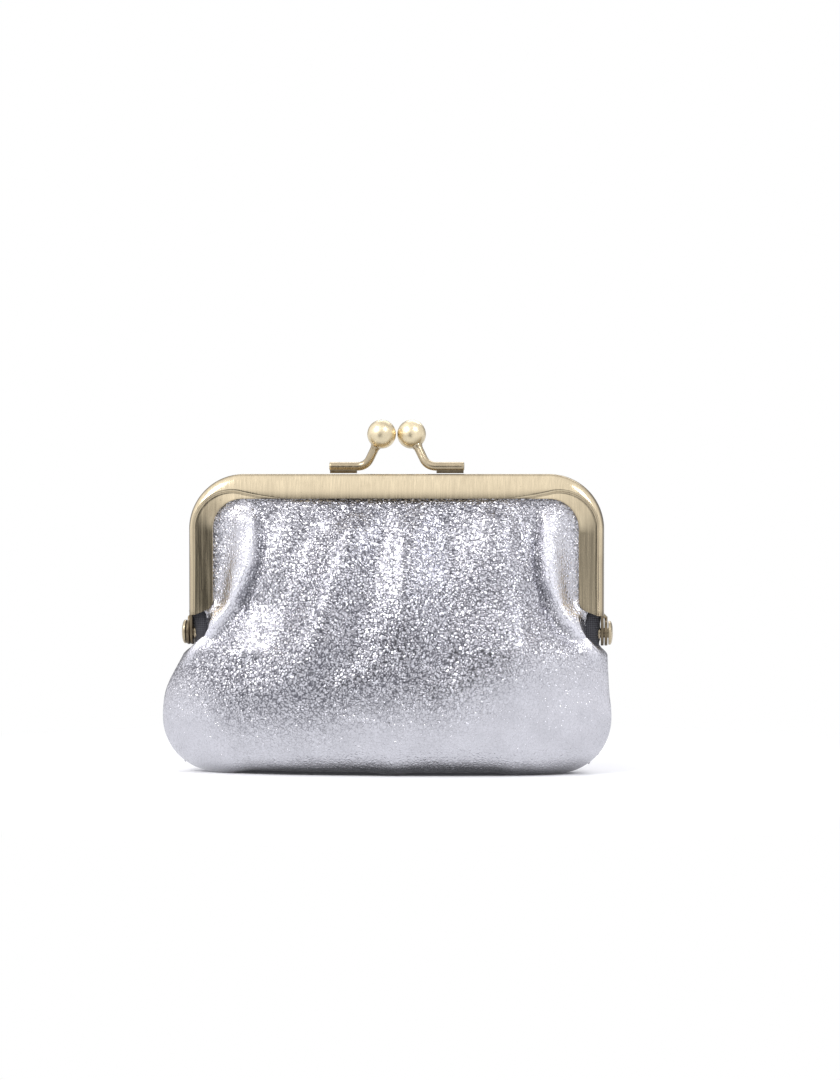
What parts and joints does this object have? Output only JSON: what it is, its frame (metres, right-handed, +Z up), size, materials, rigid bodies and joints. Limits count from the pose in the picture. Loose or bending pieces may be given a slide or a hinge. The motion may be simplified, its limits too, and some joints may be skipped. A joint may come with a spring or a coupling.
{
  "type": "kiss-lock coin purse",
  "caption": "Small soft leather coin purse on a hinged brass frame that snaps shut with a kiss-lock clasp of two balls.",
  "frame": {"origin": "on the table, in the middle of the purse's base", "axes": "+X to the right seen from the front, +Y to the back, +Z up"},
  "size_m": [0.1098, 0.0354, 0.086],
  "materials": {
    "brushed_brass": "brushed, antiqued",
    "polished_brass": "satin",
    "silver_leather": "crackled silver foil",
    "lining_cloth": "plain weave",
    "paper_cord": "twisted kraft paper"
  },
  "bodies": {
    "pouch": {"front_leather_lower": "silver_leather", "back_leather_lower": "silver_leather", "front_lining_lower": "lining_cloth", "back_lining_lower": "lining_cloth"},
    "front_half": {"front_frame": "brushed_brass", "front_clasp_stalk": "polished_brass", "front_clasp_ball": "polished_brass", "front_paper_cord": "paper_cord", "front_leather_upper": "silver_leather", "front_lining_upper": "lining_cloth"},
    "back_half": {"back_frame": "brushed_brass", "back_clasp_stalk": "polished_brass", "back_clasp_ball": "polished_brass", "back_paper_cord": "paper_cord", "back_leather_upper": "silver_leather", "back_lining_upper": "lining_cloth", "left_hinge_rivet": "polished_brass", "right_hinge_rivet": "polished_brass"}
  },
  "joints": [
    {"name": "front_half_swing", "type": "hinge", "parent": "pouch", "child": "front_half", "pos_m": [0, 0, 0.0342], "axis": [1, 0, 0], "range_deg": [0, 45]},
    {"name": "back_half_swing", "type": "hinge", "parent": "pouch", "child": "back_half", "pos_m": [0, 0, 0.0342], "axis": [-1, 0, 0], "range_deg": [0, 45]}
  ],
  "couplings": [
    {"joint": "back_half_swing", "follows": "front_half_swing", "ratio": 1}
  ]
}
